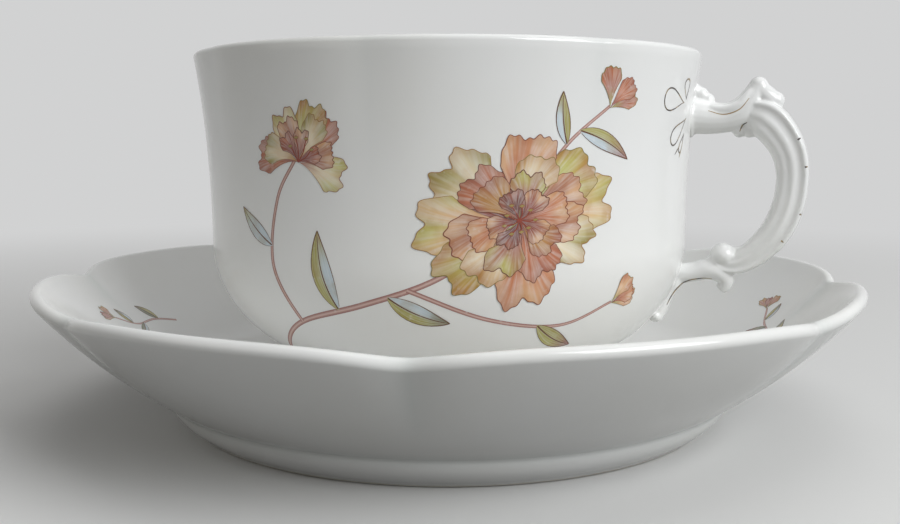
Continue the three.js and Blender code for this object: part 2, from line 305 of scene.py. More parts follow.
cupHeight = (bowlHigh[2] - bowlLow[2]) / mm


def bowlRadius(height):  # outside of the bowl, by height above the foot's standing edge
    height = np.asarray(height, float)
    share = np.clip((height - cup["shoulder"]) / (cupHeight - cup["shoulder"]), 0, None)
    flare = cup["waistRadius"] + (cup["rimRadius"] - cup["waistRadius"]) * share ** cup["flarePower"]
    drop = np.clip((cup["shoulder"] - height) / (cup["shoulder"] - cup["lift"]), 0, 1)
    belly = cup["waistRadius"] - cup["belly"] * (1 - np.sqrt(1 - drop * drop))
    return np.where(height >= cup["shoulder"], flare, belly)


def fluteDepth(height, angle):
    fade = easeBetween(height, cup["shoulder"], cupHeight)
    flute = nearNotch(angle, cup["flutes"], cup["fluteSoft"])
    return cup["fluteDepth"] * fade * flute ** cup["fluteSpread"]


def bowlProfile():  # from the middle of the underside round the lip to the middle of the inside
    points = cup["points"]
    footInside = cup["footRadius"] - cup["footWidth"]
    edge = cup["footWidth"] / 2
    foot = arcPoints((footInside + edge, edge), edge, *cup["footTurns"], points["foot"])
    bendStart, bendMiddle = cup["recessBend"]
    under = [(0, cup["recess"]), (footInside - cup["hub"], cup["recess"])]
    under += bendPoints((footInside - bendStart, cup["recess"]), (footInside - bendMiddle, cup["recess"]),
                        foot[0], points["recess"])[:-1]
    bellyHub = cup["waistRadius"] - cup["belly"]
    start = math.degrees(math.asin((cup["footRadius"] + cup["footSwell"] - bellyHub) / cup["belly"]))
    turns = np.radians(np.linspace(start, 90, points["belly"])[:-1])
    down = cup["shoulder"] - cup["lift"]
    belly = [(bellyHub + cup["belly"] * math.sin(t), cup["shoulder"] - down * math.cos(t)) for t in turns]
    footBend = (cup["footRadius"] + cup["footTuck"][0], belly[0][1] - cup["footTuck"][1])
    footJoin = bendPoints(foot[-1], footBend, belly[0], points["footJoin"])[1:-1]
    lipHeight = cupHeight - cup["lip"] / 2
    heights = np.linspace(cup["shoulder"], lipHeight, points["wall"])
    flare = [(float(bowlRadius(height)), height) for height in heights]
    lipCentre = (flare[-1][0] - cup["lip"] / 2, lipHeight)
    lip = arcPoints(lipCentre, cup["lip"] / 2, 0, 180, points["lip"])[1:-1]
    thinning = easeBetween(heights, cup["shoulder"], cupHeight)
    walls = cup["wall"] + (cup["lip"] - cup["wall"]) * thinning
    inside = [(float(bowlRadius(height)) - wall, height) for height, wall in zip(heights, walls)][::-1]
    innerDown = cup["shoulder"] - cup["recess"] - cup["floor"]
    across = cup["belly"] - cup["wall"]
    turns = np.radians(np.linspace(90, 0, points["belly"])[1:])
    bottom = [(bellyHub + across * math.sin(t), cup["shoulder"] - innerDown * math.cos(t)) for t in turns]
    bottom.append((0, cup["recess"] + cup["floor"]))
    profile = under + foot + footJoin + belly + flare + lip + inside + bottom
    return [(radius, height + cupFoot) for radius, height in profile]


def makeBowl():
    piece = throwOnWheel("cupBowl", bowlProfile(), cup["steps"])
    corners = readCorners(piece) / mm
    radius = np.hypot(corners[:, 0], corners[:, 1])
    angle = np.arctan2(corners[:, 0], -corners[:, 1])
    height = corners[:, 2] - cupFoot
    flutePool = nearNotch(angle, cup["flutes"]) ** cup["poolSharpness"]
    flutePool = cup["poolShare"] * flutePool * easeBetween(height, cup["shoulder"], cupHeight)
    footPool = easeBetween(radius, cup["footRadius"], cup["footRadius"] + cup["footPoolReach"])
    footPool = footPool * (1 - easeBetween(height, *cup["footPoolHeight"]))
    markCorners(piece, "pooling", np.clip(flutePool + footPool, 0, 1))
    moveCorners(piece, roundAxis(radius - fluteDepth(height, angle), angle, corners[:, 2]) * mm)
    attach(piece, "cup")
    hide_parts("cup_bowl")
    print("bowl moulded,", len(piece.data.polygons), "faces")
    return piece


# Handle: strands in its own plane, melted into one moulding
# A knot is (distance from the cup's axis, height above its foot, half depth)
handle = {
    "breadth": 1.15,
    "voxel": 0.17,
    "soften": 10,
    "softenShare": 0.5,
    "specks": 0.02,
    "curveSteps": 14,
    "ovalSteps": 7,
    "sectionSteps": 4,
    "beadSteps": (24, 16),
    "section": [(-1.0, 0.0), (-0.9, 0.55), (-0.66, 0.86), (-0.3, 0.89), (-0.12, 0.97), (0.04, 0.97),
                (0.2, 0.91), (0.48, 0.88), (0.64, 0.96), (0.78, 0.93), (0.94, 0.5), (1.0, 0.0)],
    "arm": [(41.2, 45.6, 3.5), (43.0, 45.5, 3.1), (45.0, 45.2, 2.75), (47.4, 45.2, 2.45),
            (49.2, 45.6, 2.55), (50.8, 46.8, 2.5), (51.9, 48.6, 2.05), (52.6, 50.2, 1.55)],
    "shoulder": [(52.6, 50.0, 1.55), (53.9, 48.6, 1.9), (55.1, 47.7, 1.7)],
    "scroll": [(50.5, 45.8, 1.8), (52.6, 45.6, 2.7), (54.4, 44.5, 3.25), (56.5, 42.1, 2.95),
               (57.7, 39.9, 2.8), (58.4, 37.2, 2.67), (58.5, 34.5, 2.56), (57.9, 30.5, 2.58),
               (56.3, 26.6, 2.6), (54.2, 24.0, 2.4), (51.7, 21.9, 2.15), (49.6, 21.0, 1.85),
               (47.9, 21.3, 1.6), (47.2, 22.6, 1.5)],
    "voluteBack": [(47.6, 22.2, 1.4), (48.8, 22.5, 1.25), (50.0, 22.6, 1.15), (51.2, 22.9, 1.1),
                   (52.2, 23.3, 1.1)],
    "bracket": [(39.8, 18.9, 1.8), (41.4, 19.0, 1.75), (43.4, 19.3, 1.6), (45.4, 19.8, 1.85),
                (47.2, 19.4, 1.7), (48.4, 18.3, 1.45), (48.3, 17.2, 1.2), (47.5, 16.4, 0.85)],
    "toe": [(-1.2, 20.0, 1.2), (-0.2, 17.8, 1.4), (-0.4, 16.2, 1.3), (-0.4, 14.8, 1.25),
            (-0.1, 13.4, 1.3), (0.2, 12.3, 1.4), (0.4, 11.6, 1.25)],  # from the bowl's outside
    "toeBreadth": 1.5,
    "toeLobe": (1.4, 2.5, 1.25),
    "beads": {
        "thumbRest": (52.65, 50.3, 1.6),
        "secondKnob": (55.3, 47.9, 1.6),
        "spur": (49.9, 43.05, 1.15),
        "spurFill": (51.5, 43.3, 1.4),
        "upperCrest": (42.2, 49.6, 1.5),
        "middleCrest": (43.5, 49.0, 1.3),
        "lowerCrest": (44.6, 48.1, 1.2),
        "voluteFoot": (46.0, 20.7, 1.35),
    },
    "bosses": {
        "collar": ((42.0, 45.6), (1.1, 4.0, 3.75)),
        "volute": ((47.9, 22.4), (2.15, 2.6, 1.95)),
    },
    "armRoll": [(43.4, 46.6, 2.0, 0.3), (45.4, 46.75, 2.1, 0.65), (47.4, 46.55, 2.1, 0.85),
                (49.6, 47.3, 2.1, 0.85), (51.1, 48.9, 1.6, 0.75), (52.2, 50.2, 0.8, 0.6)],  # third: aside
}


def handlePlace(out, up, aside=0):  # the handle's plane is the cup's plane of symmetry
    return Vector((out, aside, cupFoot + up))


def strapSection():  # the C-scroll's section, as (outwards, across) shares of its half depth
    deselectAll()
    bpy.ops.curve.primitive_bezier_circle_add(radius=1, location=(0, 0, 0))
    section = bpy.context.object
    front = handle["section"]
    outline = front + [(outwards, -across) for outwards, across in front[-2:0:-1]]
    spline = section.data.splines[0]
    spline.bezier_points.add(len(outline) - len(spline.bezier_points))
    for knot, (outwards, across) in zip(spline.bezier_points, outline):
        knot.co = (across, outwards, 0)
        knot.handle_left_type = knot.handle_right_type = "AUTO"
    spline.resolution_u = handle["sectionSteps"]
    return section


def strand(knots, breadth, section=None):  # knots are (place, half depth), the section an oval by default
    deselectAll()
    bpy.ops.curve.primitive_bezier_curve_add(location=(0, 0, 0))
    piece = bpy.context.object
    route = piece.data
    spline = route.splines[0]
    spline.bezier_points.add(len(knots) - 2)
    for knot, (place, halfDepth) in zip(spline.bezier_points, knots):
        knot.co = place * mm
        knot.radius = halfDepth * mm
        knot.handle_left_type = knot.handle_right_type = "AUTO"
    spline.radius_interpolation = "BSPLINE"
    spline.resolution_u = handle["curveSteps"]
    route.dimensions = "3D"
    route.twist_mode = "MINIMUM"
    route.bevel_depth = 1.0
    route.bevel_resolution = handle["ovalSteps"]
    if section:
        route.bevel_mode = "OBJECT"
        route.bevel_object = section
    route.use_fill_caps = True
    bpy.ops.object.convert(target="MESH")
    bpy.ops.transform.resize(value=(1, breadth, 1), center_override=(0, 0, 0))
    bpy.ops.object.transform_apply(location=True, rotation=True, scale=True)
    return bpy.context.object


def bead(place, size):  # size is the half length in x, y and z
    deselectAll()
    around, rings = handle["beadSteps"]
    bpy.ops.mesh.primitive_uv_sphere_add(segments=around, ring_count=rings, radius=1, location=place * mm)
    bpy.ops.transform.resize(value=Vector(size) * mm)
    bpy.ops.object.transform_apply(location=True, rotation=True, scale=True)
    return bpy.context.object


def toeKnots():  # the leaf toe runs down the outside of the bowl and lifts off it at its tip
    return [(handlePlace(float(bowlRadius(height)) + proud, height), depth)
            for proud, height, depth in handle["toe"]]


def makeHandle():
    breadth = handle["breadth"]
    section = strapSection()
    parts = []
    for name in ("arm", "shoulder", "scroll", "voluteBack", "bracket"):
        knots = [(handlePlace(out, up), depth) for out, up, depth in handle[name]]
        parts.append(strand(knots, breadth, section if name == "scroll" else None))
    pick(section)
    bpy.ops.object.delete()
    parts.append(strand(toeKnots(), handle["toeBreadth"]))
    parts.append(bead(toeKnots()[-1][0], handle["toeLobe"]))
    for out, up, size in handle["beads"].values():
        parts.append(bead(handlePlace(out, up), (size, size * breadth, size)))
    for place, size in handle["bosses"].values():
        parts.append(bead(handlePlace(*place), size))
    for side in (-1, 1):
        knots = [(handlePlace(out, up, side * aside), depth) for out, up, aside, depth in handle["armRoll"]]
        parts.append(strand(knots, 1))
    pick(*parts)
    bpy.ops.object.join()
    piece = bpy.context.object
    piece.name = piece.data.name = "scrollHandle"
    finishWith(piece, "REMESH", mode="VOXEL", voxel_size=handle["voxel"] * mm)
    finishWith(piece, "SMOOTH", factor=handle["softenShare"], iterations=handle["soften"])
    pick(piece)
    bpy.ops.object.shade_smooth()
    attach(piece, "cup")
    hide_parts("cup_handle", "upper_slip_seam", "lower_slip_seam")
    print("handle melted together,", len(piece.data.polygons), "faces")
    return piece


# Materials
def newGroup(name, inputs, outputs):  # a shader node group with named sockets
    group = bpy.data.node_groups.new(name, "ShaderNodeTree")
    for label, kind in inputs.items():
        group.interface.new_socket(label, in_out="INPUT", socket_type="NodeSocket" + kind)
    for label, kind in outputs.items():
        group.interface.new_socket(label, in_out="OUTPUT", socket_type="NodeSocket" + kind)
    return group, group.nodes.new("NodeGroupInput").outputs, group.nodes.new("NodeGroupOutput").inputs


def addNode(tree, kind, sockets=None, **settings):  # a socket takes another node's output or a fixed value
    node = tree.nodes.new("ShaderNode" + kind)
    for name, value in settings.items():
        setattr(node, name, value)
    for socket, source in (sockets or {}).items():
        if isinstance(source, bpy.types.NodeSocket):
            tree.links.new(source, node.inputs[socket])
        else:
            node.inputs[socket].default_value = source
    return node


def noise(tree, place, scale, detail=2.0):
    return addNode(tree, "TexNoise", {"Vector": place, "Scale": scale, "Detail": detail}).outputs["Fac"]


def between(tree, value, low, high):  # 0 at low, 1 at high, soft between
    sockets = {"Value": value, "From Min": low, "From Max": high}
    return addNode(tree, "MapRange", sockets, interpolation_type="SMOOTHSTEP").outputs["Result"]


def fromTo(tree, value, low, high):  # spreads 0 to 1 over low to high
    return addNode(tree, "MapRange", {"Value": value, "To Min": low, "To Max": high}).outputs["Result"]


def combine(tree, operation, first, second):
    return addNode(tree, "Math", {0: first, 1: second}, operation=operation).outputs[0]


def tinted(tree, share, first, second, blend="MIX"):
    sockets = {0: share, 6: first, 7: second}
    return addNode(tree, "Mix", sockets, data_type="RGBA", blend_type=blend).outputs[2]


def weighted(tree, value, share):
    return combine(tree, "MULTIPLY", value, share)


grainSettings = {
    "waves": 65.0,
    "fineWaves": 420.0,
    "fineShare": 0.06,
    "clouds": 28.0,
    "cloudDetail": 4.0,
    "cloudRange": (0.32, 0.72),
    "specks": 90.0,
    "speckEdge": (0.012, 0.026),
}
wearSettings = {
    "patches": 900.0,
    "patchDetail": 3.0,
    "patchRange": (0.6, 0.85),
    "scuffs": 2600.0,
}


def glazeGrain():  # slow waves in the glaze, cloudy tint and a few fired-in specks
    group, given, made = newGroup("glazeGrain", {"Place": "Vector", "Speck density": "Float"},
                                  {"Waves": "Float", "Clouds": "Float", "Specks": "Float"})
    place = given["Place"]
    slow = noise(group, place, grainSettings["waves"])
    fine = weighted(group, noise(group, place, grainSettings["fineWaves"]), grainSettings["fineShare"])
    group.links.new(combine(group, "ADD", slow, fine), made["Waves"])
    clouds = noise(group, place, grainSettings["clouds"], grainSettings["cloudDetail"])
    group.links.new(between(group, clouds, *grainSettings["cloudRange"]), made["Clouds"])
    cells = addNode(group, "TexVoronoi", {"Vector": place, "Scale": grainSettings["specks"]}).outputs
    chance = addNode(group, "SeparateColor", {"Color": cells["Color"]}).outputs["Red"]
    chosen = combine(group, "LESS_THAN", chance, given["Speck density"])
    outsideDot = between(group, cells["Distance"], *grainSettings["speckEdge"])
    group.links.new(weighted(group, chosen, combine(group, "SUBTRACT", 1.0, outsideDot)), made["Specks"])
    return group


def wornFinish():  # patches that use has rubbed thin, and fine scuffs
    group, given, made = newGroup("wornFinish", {"Place": "Vector", "Wear": "Float"},
                                  {"Rubbed": "Float", "Scuffs": "Float"})
    patches = noise(group, given["Place"], wearSettings["patches"], wearSettings["patchDetail"])
    patches = combine(group, "ADD", patches, given["Wear"])
    group.links.new(between(group, patches, *wearSettings["patchRange"]), made["Rubbed"])
    group.links.new(noise(group, given["Place"], wearSettings["scuffs"]), made["Scuffs"])
    return group


def usesGroup(tree, group, sockets):
    return addNode(tree, "Group", sockets, node_tree=group).outputs


def bumped(tree, shader, height, strength, distance):
    bump = addNode(tree, "Bump", {"Height": height, "Strength": strength, "Distance": distance * mm})
    tree.links.new(bump.outputs["Normal"], shader.inputs["Normal"])


def newMaterial(name):
    material = bpy.data.materials.new(name)
    material.use_nodes = True
    tree = material.node_tree
    place = addNode(tree, "TexCoord").outputs["Object"]
    return material, tree, tree.nodes["Principled BSDF"], place


glaze = {
    "white": (0.83, 0.835, 0.825, 1),
    "cloud": (0.80, 0.80, 0.765, 1),
    "cloudShare": 0.6,
    "pooled": (0.69, 0.715, 0.695, 1),
    "pooledShare": 0.75,
    "speck": (0.16, 0.12, 0.09, 1),
    "bisque": (0.72, 0.685, 0.62, 1),
    "bareEdge": (0.1, 0.3),
    "bareRagged": 0.5,
    "raggedScale": 300.0,
    "bareRoughness": 0.6,
    "roughness": (0.07, 0.15),
    "waveStrength": 0.09,
    "waveHeight": 1.0,
    "refraction": 1.52,
}


def porcelain(name, grain, specks, standing=None):  # standing is the height of an unglazed standing edge
    material, tree, shader, place = newMaterial(name)
    made = usesGroup(tree, grain, {"Place": place, "Speck density": specks})
    clouds = weighted(tree, made["Clouds"], glaze["cloudShare"])
    colour = tinted(tree, clouds, glaze["white"], glaze["cloud"])
    pooling = addNode(tree, "Attribute", attribute_name="pooling").outputs["Fac"]
    colour = tinted(tree, weighted(tree, pooling, glaze["pooledShare"]), colour, glaze["pooled"])
    colour = tinted(tree, made["Specks"], colour, glaze["speck"])
    roughness = fromTo(tree, made["Clouds"], *glaze["roughness"])
    if standing is not None:
        height = addNode(tree, "SeparateXYZ", {"Vector": place}).outputs["Z"]
        ragged = weighted(tree, noise(tree, place, glaze["raggedScale"]), glaze["bareRagged"] * mm)
        low, high = ((standing + edge) * mm for edge in glaze["bareEdge"])
        glazed = between(tree, combine(tree, "SUBTRACT", height, ragged), low, high)
        bare = combine(tree, "SUBTRACT", 1.0, glazed)
        colour = tinted(tree, bare, colour, glaze["bisque"])
        roughness = combine(tree, "MAXIMUM", roughness, weighted(tree, bare, glaze["bareRoughness"]))
    tree.links.new(colour, shader.inputs["Base Color"])
    tree.links.new(roughness, shader.inputs["Roughness"])
    bumped(tree, shader, made["Waves"], glaze["waveStrength"], glaze["waveHeight"])
    shader.inputs["IOR"].default_value = glaze["refraction"]
    return material


wash = {
    "brush": (15.0, 1.6, 1.0),
    "streakDetail": 3.0,
    "streakRange": (0.35, 0.7),
    "streakShare": 0.34,
    "blotches": 320.0,
    "blotchDetail": 4.0,
    "blotchRange": (0.42, 0.66),
    "blotchShare": 0.55,
    "blotchTint": (0.80, 0.66, 0.50, 1),
    "rimRange": (0.82, 1.0),
    "rimShare": 0.5,
    "rimTint": (0.74, 0.56, 0.42, 1),
    "rubbedShare": 0.4,
    "roughness": (0.12, 0.26),
    "reliefStrength": 0.2,
    "reliefHeight": 0.02,
}


def enamelPaint(name, worn):  # streaks along the stroke, blotches, a darker rim, thin where it is rubbed
    material, tree, shader, place = newMaterial(name)
    stroke = addNode(tree, "UVMap", uv_map="UVMap").outputs["UV"]
    paint = addNode(tree, "Attribute", attribute_name="paint").outputs
    loose = paint["Alpha"]
    brush = addNode(tree, "Mapping", {"Vector": stroke, "Scale": wash["brush"]}).outputs["Vector"]
    streak = between(tree, noise(tree, brush, 1.0, wash["streakDetail"]), *wash["streakRange"])
    streak = weighted(tree, streak, loose)
    colour = tinted(tree, weighted(tree, streak, wash["streakShare"]), paint["Color"], glaze["white"])
    blotch = noise(tree, place, wash["blotches"], wash["blotchDetail"])
    blotch = weighted(tree, between(tree, blotch, *wash["blotchRange"]), loose)
    blotch = weighted(tree, blotch, wash["blotchShare"])
    colour = tinted(tree, blotch, colour, wash["blotchTint"], "MULTIPLY")
    sides = addNode(tree, "SeparateXYZ", {"Vector": stroke}).outputs
    across = combine(tree, "SUBTRACT", weighted(tree, sides["X"], 2.0), 1.0)
    across = weighted(tree, across, across)
    rim = between(tree, combine(tree, "MAXIMUM", across, sides["Y"]), *wash["rimRange"])
    rim = weighted(tree, weighted(tree, rim, loose), wash["rimShare"])
    colour = tinted(tree, rim, colour, wash["rimTint"], "MULTIPLY")
    made = usesGroup(tree, worn, {"Place": place, "Wear": 0.0})
    colour = tinted(tree, weighted(tree, made["Rubbed"], wash["rubbedShare"]), colour, glaze["white"])
    tree.links.new(colour, shader.inputs["Base Color"])
    tree.links.new(fromTo(tree, made["Scuffs"], *wash["roughness"]), shader.inputs["Roughness"])
    bumped(tree, shader, streak, wash["reliefStrength"], wash["reliefHeight"])
    shader.inputs["IOR"].default_value = glaze["refraction"]
    return material


gilt = {
    "wear": 0.26,
    "gold": (0.44, 0.33, 0.17, 1),
    "metallic": (0.8, 0.0),
    "roughness": (0.22, 0.5),
}


def wornGilt(name, worn):  # thin gilding, mostly rubbed down to its dark size
    material, tree, shader, place = newMaterial(name)
    made = usesGroup(tree, worn, {"Place": place, "Wear": gilt["wear"]})
    size = addNode(tree, "Attribute", attribute_name="paint").outputs["Color"]
    colour = tinted(tree, made["Rubbed"], gilt["gold"], size)
    tree.links.new(colour, shader.inputs["Base Color"])
    tree.links.new(fromTo(tree, made["Rubbed"], *gilt["metallic"]), shader.inputs["Metallic"])
    tree.links.new(fromTo(tree, made["Scuffs"], *gilt["roughness"]), shader.inputs["Roughness"])
    return material


def wear(piece, material):
    piece.data.materials.clear()
    piece.data.materials.append(material)


# Painting on the glaze: each stroke is a small grid bent to its shape on the surface, with its own colours
def fromScreen(red, green, blue):  # a colour as it reads on a screen, made linear
    share = np.array((red, green, blue)) / 255
    return np.where(share <= 0.04045, share / 12.92, ((share + 0.055) / 1.055) ** 2.4)


enamel = {
    "rose": fromScreen(172, 112, 94),
    "coral": fromScreen(196, 122, 86),
    "peach": fromScreen(228, 188, 148),
    "cream": fromScreen(240, 224, 194),
    "olive": fromScreen(160, 152, 74),
    "lime": fromScreen(198, 198, 118),
    "ochre": fromScreen(190, 144, 78),
    "russet": fromScreen(144, 64, 46),
    "plum": fromScreen(112, 62, 58),
    "ink": fromScreen(104, 70, 50),
    "stem": fromScreen(146, 88, 84),
    "stemLight": fromScreen(216, 184, 172),
    "mist": fromScreen(196, 210, 218),
    "leaf": fromScreen(170, 164, 86),
    "moss": fromScreen(110, 114, 80),
    "size": fromScreen(66, 58, 56),
    "faded": fromScreen(158, 132, 96),
    "thickness": 0.008,
    "layer": 0.002,
    "lift": 0.012,
    "smoothAngle": 40,
    "slopeStep": 0.05,
}


def blendColours(first, second, share):
    share = np.asarray(share, float)[:, None]
    return first * (1 - share) + second * share


def onBowl(turn):  # u runs round the bowl from a turn in degrees, v is the height above the foot
    step = enamel["slopeStep"]

    def place(u, v, lift):
        angle = math.radians(turn) + u / cup["waistRadius"]
        slope = (bowlRadius(v + step) - bowlRadius(v - step)) / (2 * step)
        outward = 1 / np.hypot(1, slope)
        radius = bowlRadius(v) - fluteDepth(v, angle) + lift * outward
        height = cupFoot + v - lift * slope * outward
        return roundAxis(radius, angle, height)
    return place


def onSaucer(turn):  # u runs round the inside of the saucer's wall, v up it from the floor
    wallLength = float(np.linalg.norm(lipMiddle - wallFoot))

    def place(u, v, lift):
        angle = math.radians(turn) + u / creaseRadius
        spot = wallPoint(np.clip(v / wallLength, 0, 1), 1.0, lift)
        radius, height = mouldSaucer(spot[:, 0], spot[:, 1], angle)
        return roundAxis(radius, strayed(angle), height)
    return place


grids = {  # columns and rows of each kind of stroke
    "petal": (44, 22),
    "ink": (2, 110),
    "stem": (4, 60),
    "leaf": (8, 24),
    "vein": (2, 24),
    "stamen": (2, 12),
    "anther": (4, 8),
    "drop": (2, 60),
    "dash": (2, 8),
    "line": (2, 40),
}
routeSteps = {"stem": 90, "stamen": 16, "anther": 9, "drop": 40, "dash": 8, "line": 60}
petalForm = {
    "phase": (0, 6),
    "wave": (6, 10),
    "bend": (-0.2, 0.2),
    "notchWidth": 0.26,
    "sideDrop": 0.3,
    "fineWave": (0.7, 2.6),
    "root": 0.2,
    "opening": 0.75,
    "middleBlend": (0.05, 0.6),
    "tipBlend": (0.5, 1.0),
    "tipShare": (0.65, 0.35),
    "tipWaves": 5,
    "heading": (-6, 6),
    "length": (0.9, 1.08),
    "inkFrom": 0.35,
    "inkWidth": (0.7, 1.1),
}
leafForm = {
    "taper": 0.85,
    "fullness": 0.9,
    "sideBlend": (-0.3, 0.3),
    "tipBlend": (0.5, 1.0),
    "inkFrom": 0.04,
    "inkWidth": 0.17,
    "vein": (0.02, 0.92),
    "veinWidths": (0.24, 0.18, 0.1),
}
stamenForm = {
    "reach": (0.7, 1.1),
    "sag": (0.2, -0.2),
    "widths": (0.2, 0.18, 0.16),
    "antherStart": (-0.4, 0),
    "antherEnd": (0.4, 0.1),
    "antherWidths": (0.1, 0.75, 0.1),
}
lineForm = {
    "look": 0.02,  # share of a route over which its direction is read
    "edge": (0.3, 0.8),
    "inkTaper": 0.3,
    "outlineSteps": (12, 64),  # along each side and round the end
}
looseness = {"wash": 1.0, "stem": 0.3, "anther": 0.2, "line": 0.0}  # how unevenly the paint is laid


def petal(flower, heading, length, spread, colours, rng):
    phase, wave, bend = (rng.uniform(*petalForm[name]) for name in ("phase", "wave", "bend"))
    lean = math.radians(flower["leanTurn"])
    heading = math.radians(heading)
    root = petalForm["root"]
    fineShare, fineness = petalForm["fineWave"]
    tipBase, tipSwing = petalForm["tipShare"]

    def shape(s, t):
        across = 1 - 2 * s
        rim = 1 - flower["notch"] * np.exp(-(across / petalForm["notchWidth"]) ** 2)
        rim = rim - petalForm["sideDrop"] * np.abs(across) ** 3
        waves = np.sin(wave * across + phase) + fineShare * np.sin(fineness * wave * across)
        rim = rim + flower["ruffle"] * waves
        turn = heading + bend * t - lean
        turn = turn + across * spread * (root + (1 - root) * t ** petalForm["opening"])
        reach = length * rim * t
        along, aside = reach * np.cos(turn), reach * np.sin(turn) * flower["lean"]
        u = flower["centre"][0] + along * math.cos(lean) - aside * math.sin(lean)
        v = flower["centre"][1] + along * math.sin(lean) + aside * math.cos(lean)
        tip = tipBase + tipSwing * np.cos(petalForm["tipWaves"] * across + phase)
        colour = blendColours(colours[0], colours[1], easeBetween(t, *petalForm["middleBlend"]))
        return u, v, blendColours(colour, colours[2], easeBetween(t, *petalForm["tipBlend"]) * tip)
    return shape


def leaf(start, heading, length, width, curl, colours):
    heading = math.radians(heading)
    curl = math.radians(curl)

    def shape(s, t):
        across = 1 - 2 * s
        half = width / 2 * np.sin(math.pi * t ** leafForm["taper"]) ** leafForm["fullness"]
        turn = heading + curl * t
        u = start[0] + length * t * np.cos(heading + curl * t / 2) - across * half * np.sin(turn)
        v = start[1] + length * t * np.sin(heading + curl * t / 2) + across * half * np.cos(turn)
        colour = blendColours(colours[0], colours[1], easeBetween(across, *leafForm["sideBlend"]))
        return u, v, blendColours(colour, colours[2], easeBetween(t, *leafForm["tipBlend"]))
    return shape


def smoothRoute(points, count):  # a soft curve through a few points
    points = np.array(points, float)
    ends = np.vstack((2 * points[0] - points[1], points, 2 * points[-1] - points[-2]))
    shares = np.linspace(0, len(points) - 1, count)
    numbers = np.minimum(shares.astype(int), len(points) - 2)
    t = (shares - numbers)[:, None]
    a, b, c, d = (ends[numbers + step] for step in range(4))
    squared, cubed = 2 * a - 5 * b + 4 * c - d, 3 * b - a - 3 * c + d
    return 0.5 * (2 * b + (c - a) * t + squared * t ** 2 + cubed * t ** 3)


def ribbon(route, widths, edge, middle):  # widths at its start, middle and end
    steps = np.concatenate(([0], np.cumsum(np.linalg.norm(np.diff(route, axis=0), axis=1))))
    steps = steps / steps[-1]
    look = lineForm["look"]

    def at(t):
        return np.stack((np.interp(t, steps, route[:, 0]), np.interp(t, steps, route[:, 1])), axis=1)

    def shape(s, t):
        along = at(np.minimum(t + look, 1)) - at(np.maximum(t - look, 0))
        along = along / np.linalg.norm(along, axis=1, keepdims=True)
        half = np.interp(t, (0, 0.5, 1), widths) / 2 * (1 - 2 * s)
        spot = at(t)
        colour = blendColours(edge, middle, easeBetween(1 - np.abs(2 * s - 1), *lineForm["edge"]))
        return spot[:, 0] - along[:, 1] * half, spot[:, 1] + along[:, 0] * half, colour
    return shape


def plainLine(kind, route, widths, colour):  # a stroke is (its grid, its shape, how loose its paint is)
    return grids[kind], ribbon(route, widths, colour, colour), looseness["line"]


def outlineOf(shape, low):  # up one side of a petal or leaf, round its end and down the other side
    side, end = lineForm["outlineSteps"]
    climb = np.linspace(low, 1, side)
    s = np.concatenate((np.zeros(side - 1), np.linspace(0, 1, end), np.ones(side - 1)))
    t = np.concatenate((climb[:-1], np.ones(end), climb[-2::-1]))
    u, v, colour = shape(s, t)
    return np.stack((u, v), axis=1)


def inked(kind, shape, low, width, ink):  # a loose wash and its ink outline
    taper = width * lineForm["inkTaper"]
    return [(grids[kind], shape, looseness["wash"]),
            plainLine("ink", outlineOf(shape, low), (taper, width, taper), ink)]


def drawnStem(points, widths):
    route = smoothRoute(points, routeSteps["stem"])
    return [(grids["stem"], ribbon(route, widths, enamel["stem"], enamel["stemLight"]), looseness["stem"])]


def drawnLeaf(start, heading, length, width, curl, names):
    shape = leaf(start, heading, length, width, curl, [enamel[name] for name in names])
    t = np.linspace(*leafForm["vein"], grids["vein"][1])
    u, v, colour = shape(np.full(len(t), 0.5), t)
    vein = plainLine("vein", np.stack((u, v), axis=1), leafForm["veinWidths"], enamel["ink"])
    return inked("leaf", shape, leafForm["inkFrom"], leafForm["inkWidth"], enamel["ink"]) + [vein]


def drawnStamens(flower, rng):
    strokes = []
    stamens = flower["stamens"]
    start = np.array(flower["centre"])
    for number in range(stamens["count"]):
        turn = math.radians(stamens["turn"] + number * stamens["sweep"] / stamens["count"])
        reach = stamens["reach"] * rng.uniform(*stamenForm["reach"])
        end = start + reach * np.array((math.cos(turn), math.sin(turn)))
        route = smoothRoute([start, (start + end) / 2 + stamenForm["sag"], end], routeSteps["stamen"])
        strokes.append(plainLine("stamen", route, stamenForm["widths"], enamel["russet"]))
        tip = smoothRoute([end + stamenForm["antherStart"], end, end + stamenForm["antherEnd"]],
                          routeSteps["anther"])
        anther = ribbon(tip, stamenForm["antherWidths"], enamel["russet"], enamel["olive"])
        strokes.append((grids["anther"], anther, looseness["anther"]))
    return strokes


def drawnBlossom(flower, rng):
    strokes = []
    for row in flower["fans"]:
        for number in range(row["count"]):
            heading = row["turn"] + number * row["sweep"] / row["count"] + rng.uniform(*petalForm["heading"])
            length = row["length"] * rng.uniform(*petalForm["length"])
            colours = [enamel[name] for name in row["colours"][number % len(row["colours"])]]
            shape = petal(flower, heading, length, row["spread"], colours, rng)
            width = flower["ink"] * rng.uniform(*petalForm["inkWidth"])
            strokes += inked("petal", shape, petalForm["inkFrom"], width, (enamel["ink"] + colours[0]) / 2)
    if "stamens" in flower:
        strokes += drawnStamens(flower, rng)
    return strokes


